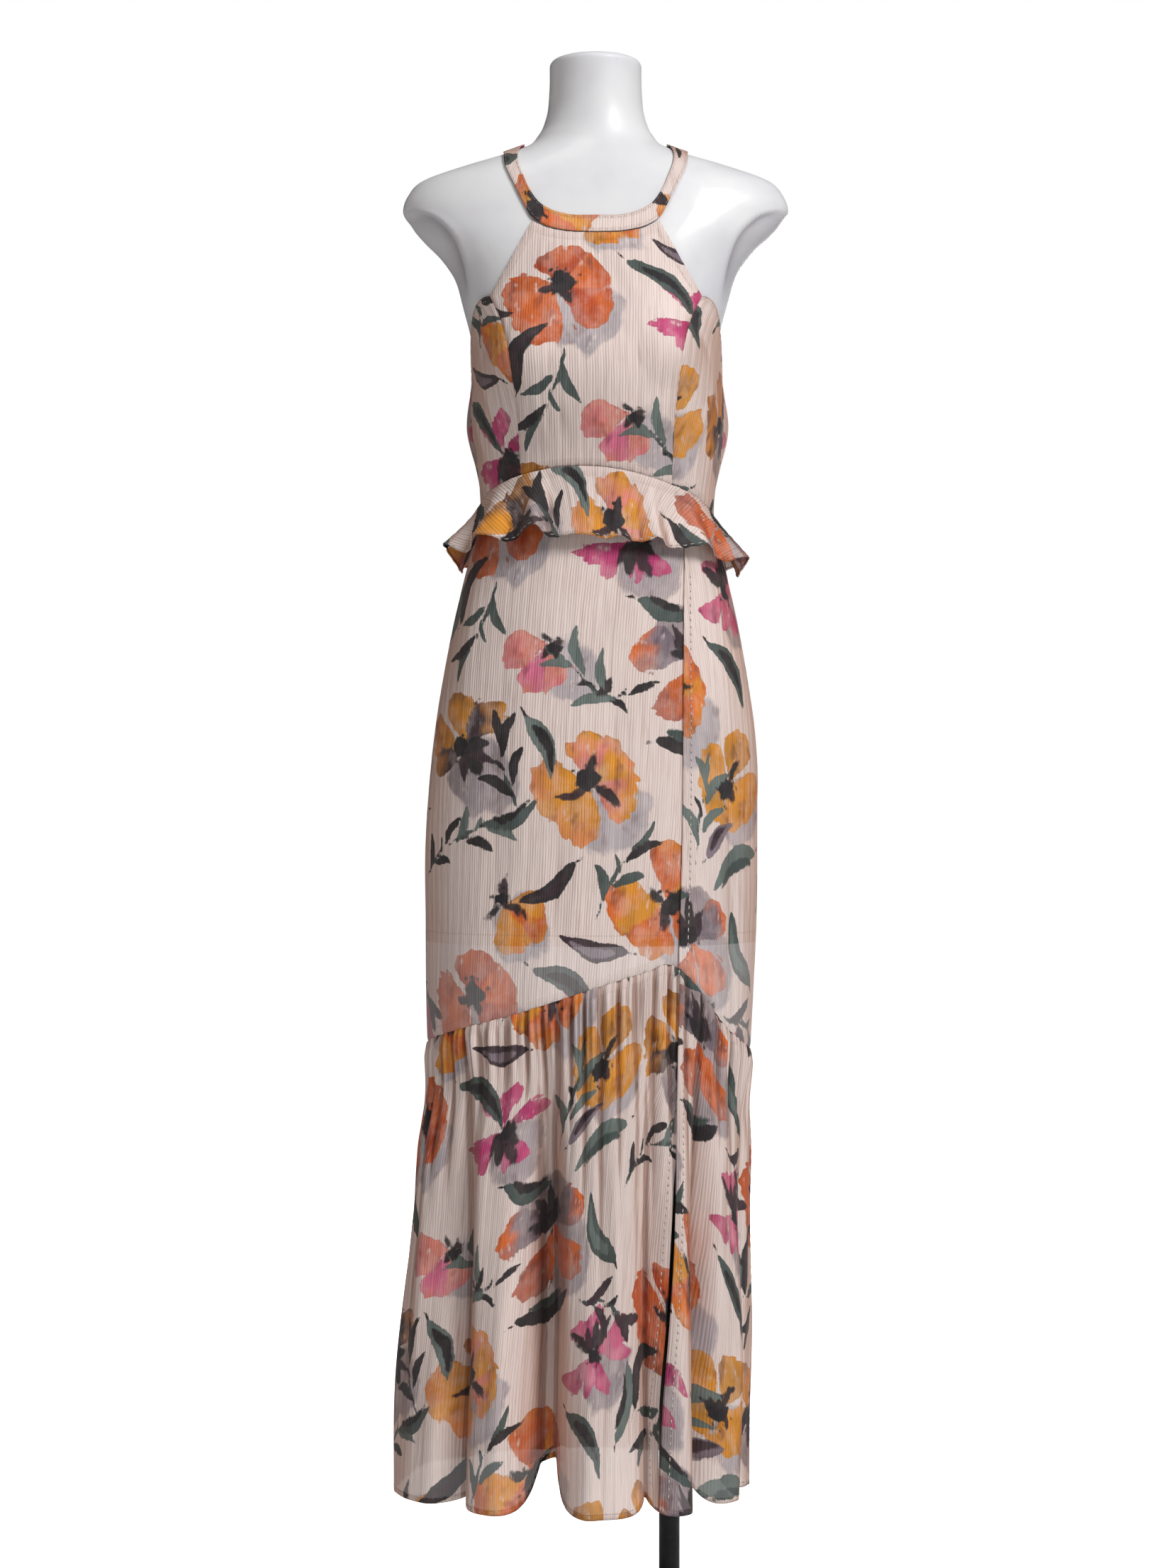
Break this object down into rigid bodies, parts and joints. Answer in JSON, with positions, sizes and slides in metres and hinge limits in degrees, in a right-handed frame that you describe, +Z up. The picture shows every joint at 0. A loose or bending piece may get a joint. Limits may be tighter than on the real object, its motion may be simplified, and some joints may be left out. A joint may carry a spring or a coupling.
{
  "type": "halter dress on a dress form stand",
  "caption": "Halter-neck maxi dress with a waist ruffle, wrap-front skirt and gathered tier, worn by a limbless dress form on a pole stand.",
  "frame": {"origin": "centre of the base plate's underside, on the floor", "axes": "+Z up along the body, -Y the way the dress faces, +X towards the viewer's right from the front"},
  "size_m": [0.4161, 0.34, 1.664],
  "materials": {
    "printed_chiffon": "crinkled sheer chiffon, blush ground with a loose floral print",
    "lining_cloth": "plain smooth lining",
    "form_shell": "smooth white satin",
    "stand_metal": "black satin paint"
  },
  "bodies": {
    "root": {"base_plate": "stand_metal", "pole": "stand_metal", "pole_collar": "stand_metal", "pole_socket": "stand_metal", "dress_form": "form_shell", "neckband": "printed_chiffon", "neck_button": "printed_chiffon", "bodice_front_centre": "printed_chiffon", "bodice_front_left": "printed_chiffon", "bodice_front_right": "printed_chiffon", "bodice_back_left": "printed_chiffon", "bodice_back_right": "printed_chiffon", "waist_ruffle_front": "printed_chiffon", "waist_ruffle_back": "printed_chiffon", "skirt_front_under": "printed_chiffon", "skirt_front_over": "printed_chiffon", "skirt_back_left": "printed_chiffon", "skirt_back_right": "printed_chiffon", "skirt_lining": "lining_cloth", "tier_front_under": "printed_chiffon", "tier_front_over": "printed_chiffon", "tier_back": "printed_chiffon"}
  },
  "joints": []
}
